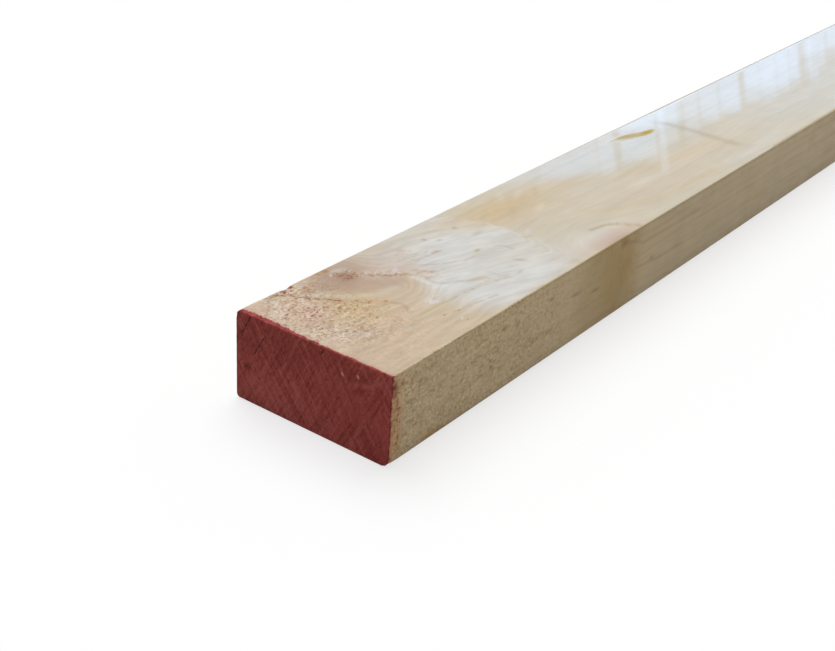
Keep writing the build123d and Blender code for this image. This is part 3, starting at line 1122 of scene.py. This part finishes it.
@dataclass(frozen=True)
class SawnSoftwood:
    """Sawn pale softwood with a brushed coat of dull red marking paint on one end, which is at X = start."""

    start: float
    paint_dark: Colour = (0.17, 0.022, 0.019)
    rim_paint: Colour = (0.40, 0.075, 0.078)
    dash_dark: Colour = (0.13, 0.018, 0.015)
    smooth_face: float = 0.042
    paint_rough: float = 0.6
    ring_strength: float = 0.13
    end_ring_strength: float = 0.5
    wide_streaks: float = 0.08
    fine_streaks: float = 0.05
    near_strokes: float = 0.075
    far_strokes: float = 0.03
    hole_brown: Colour = (0.62, 0.48, 0.32)
    hole_rose: Colour = (0.74, 0.50, 0.42)
    hole_strength: float = 0.74
    dot_gold: Colour = (0.60, 0.34, 0.13)
    dot_red: Colour = (0.55, 0.29, 0.17)
    fluff_gain: float = 1.25
    fluff_strength: float = 0.8
    wisp_gain: float = 1.28
    wisp_strength: float = 0.9
    fleck_softness: float = 0.5

    def draw(self, nodes: Nodes, colour: object, place: object, face: Face, rows: Rows) -> Socket:
        """Draws one face's finest marks.

        A group's marks become circles once the face is turned and shrunk along them, so that the distance
        to the nearest centre says how strongly they cover a point. A little noise bends their outlines.

        Args:
            nodes: The shader's tree.
            colour: What lies under the marks.
            place: Object coordinates.
            face: The top, or the marked end.
            rows: The groups of marks.

        Returns:
            The colour with the marks.
        """
        on_end = face is Face.MARKED_END
        axis, start = ("X_AXIS", 0.0) if on_end else ("Z_AXIS", self.start)
        bent = nodes.noise(place, 1100.0, output="Color")
        bent = nodes.vector("SUBTRACT", bent, (0.5, 0.5, 0.5))
        bent = nodes.scaled(bent, ((0.5 if on_end else 1.6) * MM,) * 3)
        place = nodes.vector("ADD", place, bent)
        for group in (Flecks(face, *row) for row in rows):
            turn = math.radians(group.turn_degrees)
            c, s = math.cos(turn), math.sin(turn)
            shrink = (1.0 / group.stretch, 1.0)
            local = nodes.turned(place, -turn, axis)
            local = nodes.scaled(local, (0.0, *shrink) if on_end else (*shrink, 0.0))
            nearest: object = 1.0
            for along, over in group.places:
                a, b = start + along * MM, over * MM
                centre = (a * c + b * s) / group.stretch, b * c - a * s
                distance = nodes.vector("DISTANCE", local, (0.0, *centre) if on_end else (*centre, 0.0))
                nearest = nodes.math("MINIMUM", nearest, distance)
            rim, soft = group.width / 2 * MM, self.fleck_softness
            cover = nodes.ramp(nearest, (1.0 - soft) * rim, (1.0 + soft) * rim, group.strength, 0.0)
            colour = nodes.mix(cover, colour, solid(group.colour))
        return colour

    def fields(self, nodes: Nodes, growth: object, place: object) -> dict[str, Socket]:
        """The random fields that the finish is made of.

        Args:
            nodes: The shader's tree.
            growth: Distance along the fibre, ring age and distance round the pith, as a vector.
            place: Object coordinates.

        Returns:
            The fields, from 0 to 1, by name.
        """
        fibre = nodes.add("SeparateXYZ", {0: growth}).outputs["X"]
        stream = nodes.add("CombineXYZ", {"X": fibre, "Y": nodes.attribute("flow")}).outputs[0]
        fields = {
            "wide": nodes.noise(nodes.scaled(stream, (12.0, 300.0, 0.0)), detail=3.0),
            "fine": nodes.noise(nodes.scaled(stream, (110.0, 2600.0, 0.0))),
            "stroke": nodes.noise(nodes.scaled(stream, (75.0, 560.0, 0.0)), detail=4.0, distortion=0.4),
            "mottle": nodes.noise(place, 70.0, 3.0),
            "patch": nodes.noise(place, 260.0),
            "speck": nodes.noise(place, 1300.0),
            "grit": nodes.noise(nodes.scaled(place, (1000.0, 1500.0, 1500.0)), detail=1.0),
            "strand": nodes.noise(nodes.scaled(growth, (0.0, 1000.0, 260.0))),
            "dot": nodes.noise(place, 1150.0, 1.0),
        }
        for name, degrees, along, across, detail in (
            ("dash", 66.0, 320.0, 1400.0, 1.0),
            ("rise", 62.0, 55.0, 900.0, 3.0),
            ("fall", -54.0, 55.0, 900.0, 3.0),
        ):
            slanted = nodes.turned(place, math.radians(degrees), "X_AXIS")
            fields[name] = nodes.noise(nodes.scaled(slanted, (0.0, along, across)), detail=detail)
        return fields

    def material(self) -> bpy.types.Material:
        """Builds the finish on one Principled shader.

        Returns:
            The material.
        """
        item = bpy.data.materials.new("sawn_softwood")
        nodes = Nodes(item)
        growth = nodes.attribute("growth", "Vector")
        place = nodes.add("TexCoord").outputs["Object"]
        torn, endgrain = nodes.attribute("torn"), nodes.attribute("endgrain")
        fields = self.fields(nodes, growth, place)
        late = self.latewood(nodes, growth, fields["mottle"])
        late = nodes.times(late, nodes.by("near", nodes.by("rim", 1.0, 0.6), 0.4))
        wood = self.wood(nodes, late, torn, endgrain, fields)
        wood = nodes.mix(nodes.attribute("rim"), wood, self.draw(nodes, wood, place, Face.TOP, TOP_FLECKS))
        cover, coat = self.coat(nodes, late, fields)
        coat = nodes.mix(endgrain, coat, self.draw(nodes, coat, place, Face.MARKED_END, END_FLECKS))
        rough = self.roughness(nodes, fields["patch"])
        rough = nodes.math("MAXIMUM", rough, nodes.times(cover, self.paint_rough))
        shine = nodes.times(nodes.ramp(rough, 0.2, 0.55, 0.5, 0.22), nodes.ramp(cover, 0.0, 1.0, 1.0, 0.4))
        inputs = {
            "Base Color": nodes.mix(cover, wood, coat),
            "Roughness": rough,
            "IOR": 1.45,
            "Specular IOR Level": shine,
            "Normal": self.bump(nodes, torn, endgrain, fields),
        }
        shader = nodes.add("BsdfPrincipled", inputs)
        nodes.add("OutputMaterial", {"Surface": shader.outputs["BSDF"]})
        return item

    def roughness(self, nodes: Nodes, patch: object) -> Socket:
        """Past the step the top is smooth where nothing dulls it, and the smooth part ends sharply.

        Args:
            nodes: The shader's tree.
            patch: A random field, for small differences.

        Returns:
            The roughness.
        """
        bright = nodes.math("SUBTRACT", 1.0, nodes.attribute("dull"))
        bright = nodes.times(bright, nodes.ramp(nodes.attribute("near"), 0.4, 0.6, 1.0, 0.0))
        rough = nodes.ramp(bright, 0.0, 1.0, nodes.attribute("rough"), self.smooth_face)
        return nodes.times(rough, nodes.ramp(patch, 0.3, 0.7, 0.88, 1.12))

    def latewood(self, nodes: Nodes, growth: object, waver: object) -> Socket:
        """The dark late part of each year's ring: it sets in slowly and stops sharply.

        A point's place in its year is the fraction of age / RING_PITCH - RING_START.

        Args:
            nodes: The shader's tree.
            growth: Distance along the fibre, ring age and distance round the pith.
            waver: A random field that makes the rings a little uneven.

        Returns:
            How dark the ring is, from 0 to 1.
        """
        age = nodes.add("SeparateXYZ", {0: growth}).outputs["Y"]
        turns = nodes.math("SUBTRACT", nodes.math("DIVIDE", age, RING_PITCH), RING_START)
        phase = nodes.math("FRACT", nodes.plus(turns, nodes.ramp(waver, 0.3, 0.7, -0.04, 0.04)))
        return nodes.times(nodes.ramp(phase, 0.62, 0.95), nodes.ramp(phase, 0.96, 1.0, 1.0, 0.0))

    def wood(self, nodes: Nodes, late: object, torn: object, endgrain: object, fields: dict) -> Socket:
        """Bare wood: the tint, then the rings, the streaks, and the torn fibres' dark and light specks,
        partly their own colour and partly painted shade in pits and painted highlights on raised fibres.

        Args:
            nodes: The shader's tree.
            late: How far each point lies in its ring's dark part.
            torn: How torn the saw left each point.
            endgrain: 1 on the ends, and 0 on the long faces.
            fields: The random fields by name.

        Returns:
            The colour.
        """
        strength = nodes.ramp(endgrain, 0.0, 1.0, self.ring_strength, self.end_ring_strength)
        strength = nodes.times(late, strength, nodes.by("branch", 1.0, 0.45))
        wood = nodes.mix(strength, nodes.attribute("tint", "Color"), solid(LATEWOOD), "MULTIPLY")
        wide = nodes.ramp(fields["wide"], 0.25, 0.75, -self.wide_streaks / 2, self.wide_streaks / 2)
        fine = nodes.ramp(fields["fine"], 0.25, 0.75, -self.fine_streaks / 2, self.fine_streaks / 2)
        streaks = nodes.times(nodes.plus(wide, fine), nodes.by("rim", 1.0, 0.6))
        strokes = nodes.ramp(fields["stroke"], 0.3, 0.7, -1.0, 1.0)
        strokes = nodes.times(strokes, nodes.by("near", self.far_strokes, self.near_strokes))
        mottle = nodes.ramp(fields["mottle"], 0.25, 0.75, 0.97, 1.03)
        wood = nodes.scaled(wood, nodes.times(nodes.plus(1.0, streaks, strokes), mottle))
        # Painted shade, partly: the torn wood's pits are darkened
        holes = nodes.times(nodes.ramp(fields["speck"], 0.54, 0.62), torn, self.hole_strength)
        hue = nodes.ramp(fields["patch"], 0.4, 0.6)
        hue = nodes.mix(hue, solid(self.hole_brown), solid(self.hole_rose))
        wood = nodes.mix(holes, wood, hue, "MULTIPLY")
        # Painted highlight, partly: the raised wisps are lightened
        wisps = nodes.times(nodes.ramp(fields["grit"], 0.54, 0.62), torn, self.wisp_strength)
        wood = nodes.mix(wisps, wood, nodes.scaled(wood, (self.wisp_gain,) * 3))
        fray = nodes.attribute("fray")
        denser = nodes.plus(fields["dot"], nodes.ramp(fray, 0.5, 1.0, 0.0, 0.05))
        dots = nodes.times(nodes.ramp(denser, 0.615, 0.68), fray)
        hue = nodes.ramp(fields["patch"], 0.42, 0.58)
        hue = nodes.mix(hue, solid(self.dot_gold), solid(self.dot_red))
        wood = nodes.mix(dots, wood, hue, "MULTIPLY")
        # Painted highlight, partly: the loose fibres are lightened
        fluff = nodes.times(nodes.ramp(fields["dot"], 0.42, 0.34), fray, self.fluff_strength)
        return nodes.mix(fluff, wood, nodes.scaled(wood, (self.fluff_gain,) * 3))

    def coat(self, nodes: Nodes, late: object, fields: dict) -> tuple[Socket, Socket]:
        """Where the marking paint is, with a ragged edge and a thin smear past it, and its colour.

        Args:
            nodes: The shader's tree.
            late: How far each point lies in its ring's dark part.
            fields: The random fields by name.

        Returns:
            How much the paint covers, and its colour.
        """
        grit = nodes.ramp(fields["grit"], 0.3, 0.7, -0.18 * MM, 0.18 * MM)
        patch = nodes.ramp(fields["patch"], 0.3, 0.7, -0.22 * MM, 0.22 * MM)
        ragged = nodes.times(nodes.math("SUBTRACT", fields["dot"], 0.5), nodes.by("rim", 0.9 * MM, 0.0))
        depth = nodes.plus(nodes.attribute("paint"), grit, patch, ragged)
        smear = nodes.ramp(depth, -1.8 * MM, 0.0, 0.0, 0.16)
        cover = nodes.math("MAXIMUM", nodes.ramp(depth, -0.1 * MM, 0.15 * MM), smear)
        edge = nodes.mix(nodes.attribute("rim"), solid(EDGE_PAINT), solid(self.rim_paint))
        coat = nodes.mix(nodes.attribute("endgrain"), edge, nodes.attribute("tint", "Color"))
        dark = self.paint_dark
        coat = nodes.mix(nodes.ramp(fields["mottle"], 0.3, 0.75, 0.0, 0.25), coat, solid(dark))
        coat = nodes.mix(nodes.times(late, 0.08), coat, solid(dark))
        for name, low, high, strength, colour in (
            ("strand", 0.46, 0.7, 0.12, dark),
            ("rise", 0.52, 0.66, 0.5, dark),
            ("rise", 0.46, 0.32, 0.45, PINK_PAINT),
            ("fall", 0.52, 0.66, 0.5, dark),
            ("fall", 0.46, 0.32, 0.45, PINK_PAINT),
            ("dash", 0.6, 0.7, 0.55, self.dash_dark),
            ("dash", 0.4, 0.3, 0.3, PINK_PAINT),
            ("grit", 0.52, 0.75, 0.2, PINK_PAINT),
            ("speck", 0.5, 0.7, 0.4, dark),
        ):
            coat = nodes.mix(nodes.ramp(fields[name], low, high, 0.0, strength), coat, solid(colour))
        return cover, coat

    def bump(self, nodes: Nodes, torn: object, endgrain: object, fields: dict) -> Socket:
        """Relief too fine for the mesh: loose fibres where the wood is torn, pores and streaks elsewhere.

        Args:
            nodes: The shader's tree.
            torn: How torn the saw left each point.
            endgrain: 1 on the ends, and 0 on the long faces.
            fields: The random fields by name.

        Returns:
            The bent normal.
        """
        loose = nodes.times(fields["speck"], nodes.ramp(torn, 0.0, 1.0, 0.0, 0.5 * MM))
        streak = nodes.by("rim", 0.010 * MM, nodes.by("near", 0.0001 * MM, 0.008 * MM))
        streak = nodes.times(fields["fine"], streak)
        pores = nodes.times(fields["grit"], nodes.ramp(endgrain, 0.0, 1.0, 0.0, 0.3 * MM))
        inputs = {"Height": nodes.plus(loose, streak, pores), "Distance": 1.0, "Strength": 1.0}
        return nodes.add("Bump", inputs).outputs["Normal"]


def direction(heading: float, height: float) -> Vector:
    """The unit vector at a heading about Z and a height above the level, both in radians."""
    level = math.cos(height)
    return Vector((math.cos(heading) * level, math.sin(heading) * level, math.sin(height)))


@dataclass(frozen=True)
class Pane:
    """One bright pane high in the studio, as directions in degrees seen from the batten's near part."""

    left: float
    right: float
    high: float
    glow: float
    distance: float = 9.0


@dataclass
class Studio:
    """A pale floor, soft light from above and behind, and tall panes that the smooth face reflects."""

    top_light: float = 1.0
    dim_sky: float = 0.42
    lamp_spread: float = 50.0
    lamp_heading: float = 48.0
    lamp_height: float = 62.0
    floor_reach: float = 30.0
    floor_level: float = -0.2 * MM
    floor_bounce: Colour = (0.50, 0.45, 0.36)
    floor_shade: float = 0.30
    pane_colour: Colour = (0.30, 0.58, 1.0)
    pane_reach: float = 9.0
    pane_lean_degrees: float = 14.0
    centre: tuple[float, float, float] = (-1.55, 0.0, 0.0)
    camera_place: tuple[float, float, float] = (-2.0080531, -0.1811987, 0.1756791)
    camera_heading: float = 0.6245086
    camera_dip: float = 0.4844165
    camera_roll: float = -0.0549188
    lens: float = 56.8849

    def build(self) -> None:
        """Sets up the light, the floor and the camera."""
        self.sky()
        self.lamp()
        for row in PANES:
            self.pane(Pane(*row))
        self.floor()
        self.camera()
        bpy.context.scene.view_settings.view_transform = "Standard"
        LOG.info("studio: %d panes, floor, lamp and camera", len(PANES))

    @staticmethod
    def hang(name: str, data: bpy.types.ID) -> bpy.types.Object:
        """Puts a new object with the given data in the scene.

        Args:
            name: Its name.
            data: Its light, mesh or camera.

        Returns:
            The object.
        """
        item = bpy.data.objects.new(name, data)
        bpy.context.collection.objects.link(item)
        return item

    def sky(self) -> None:
        """The world: dim to whatever it lights, and white to the camera and in reflections."""
        world = bpy.data.worlds.new("studio")
        nodes = Nodes(world)
        path = nodes.add("LightPath").outputs
        seen = nodes.math("MAXIMUM", path["Is Camera Ray"], path["Is Glossy Ray"])
        seen = nodes.math("MAXIMUM", seen, path["Is Transmission Ray"])
        strength = nodes.ramp(seen, 0.0, 1.0, self.dim_sky, 1.0)
        background = nodes.add("Background", {"Color": WHITE, "Strength": strength})
        nodes.add("OutputWorld", {"Surface": background.outputs[0]})
        bpy.context.scene.world = world

    def lamp(self) -> None:
        """One wide soft sun, high up and a little past the batten, so that the near faces are in shade."""
        light = bpy.data.lights.new("overhead", "SUN")
        light.angle = math.radians(self.lamp_spread)
        height = math.radians(self.lamp_height)
        out = direction(math.radians(self.lamp_heading), height)
        light.energy = math.pi * (self.top_light - self.dim_sky) / math.sin(height)
        item = self.hang("overhead", light)
        item.rotation_euler = out.to_track_quat("Z", "Y").to_euler()
        item.visible_glossy = False

    def pane(self, pane: Pane) -> None:
        """Hangs one glowing pane by the middle of its top edge, leaning sideways, facing the batten.

        Args:
            pane: Where it hangs and how bright it is.
        """
        light = bpy.data.lights.new("pane", "AREA")
        light.shape = "RECTANGLE"
        high = math.radians(pane.high)
        out = direction(math.radians((pane.left + pane.right) / 2), 0.0)
        light.size = 2.0 * pane.distance * math.tan(math.radians((pane.right - pane.left) / 2))
        light.size_y = pane.distance * (math.tan(high) - math.tan(high - math.radians(self.pane_reach)))
        light.energy = pane.glow * math.pi * light.size * light.size_y
        light.color = self.pane_colour
        lean = Matrix.Rotation(math.radians(self.pane_lean_degrees), 3, out)
        top = Vector(self.centre) + pane.distance * (out + Vector((0.0, 0.0, math.tan(high))))
        item = self.hang("pane", light)
        item.location = top - lean @ Vector((0.0, 0.0, light.size_y / 2))
        item.rotation_euler = (lean @ out.to_track_quat("Z", "Y").to_matrix()).to_euler()
        item.visible_camera = False

    def floor(self) -> None:
        """A wide pale floor: white where it is fully lit, a little darker in the batten's shadow."""
        mesh = bpy.data.meshes.new("floor")
        far = self.floor_reach
        corners = [(x, y, self.floor_level) for x, y in ((-far, -far), (far, -far), (far, far), (-far, far))]
        mesh.from_pydata(corners, [], [(0, 1, 2, 3)])
        item = self.hang("floor", mesh)
        material = bpy.data.materials.new("floor")
        nodes = Nodes(material)
        bounced = nodes.add("LightPath").outputs["Is Diffuse Ray"]
        colour = nodes.mix(bounced, solid((self.floor_shade,) * 3), solid(self.floor_bounce))
        diffuse = nodes.add("BsdfDiffuse", {"Color": colour})
        glow = nodes.ramp(bounced, 0.0, 1.0, 1.0 - self.floor_shade, 0.0)
        emission = nodes.add("Emission", {"Color": WHITE, "Strength": glow})
        total = nodes.add("AddShader", {0: diffuse.outputs[0], 1: emission.outputs[0]})
        nodes.add("OutputMaterial", {"Surface": total.outputs[0]})
        mesh.materials.append(material)

    def camera(self) -> None:
        """The camera that looks along the batten from beyond its marked end, as the photo does."""
        data = bpy.data.cameras.new("camera")
        data.lens, data.sensor_width, data.sensor_fit = self.lens, 36.0, "HORIZONTAL"
        data.clip_start = 0.01
        forward = direction(self.camera_heading, -self.camera_dip)
        level = forward.cross(Vector((0.0, 0.0, 1.0))).normalized()
        down = forward.cross(level)
        c, s = math.cos(self.camera_roll), math.sin(self.camera_roll)
        right, up = c * level + s * down, s * level - c * down
        item = self.hang("camera", data)
        item.location = self.camera_place
        item.rotation_euler = Matrix((right, up, -forward)).transposed().to_euler()
        bpy.context.scene.camera = item


def main() -> None:
    logging.basicConfig(level=logging.INFO, format="%(name)s: %(message)s")
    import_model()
    low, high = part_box("batten")
    length, width, thickness = high - low

    grain = Grain()
    grain.plant(length)
    batten = Batten(length, Section(width, thickness), grain)
    skin = batten.build()
    skin.data.materials.append(SawnSoftwood(-length / 2).material())
    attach(skin, "root")
    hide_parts("batten")

    Studio().build()


if __name__ == "__main__":
    main()
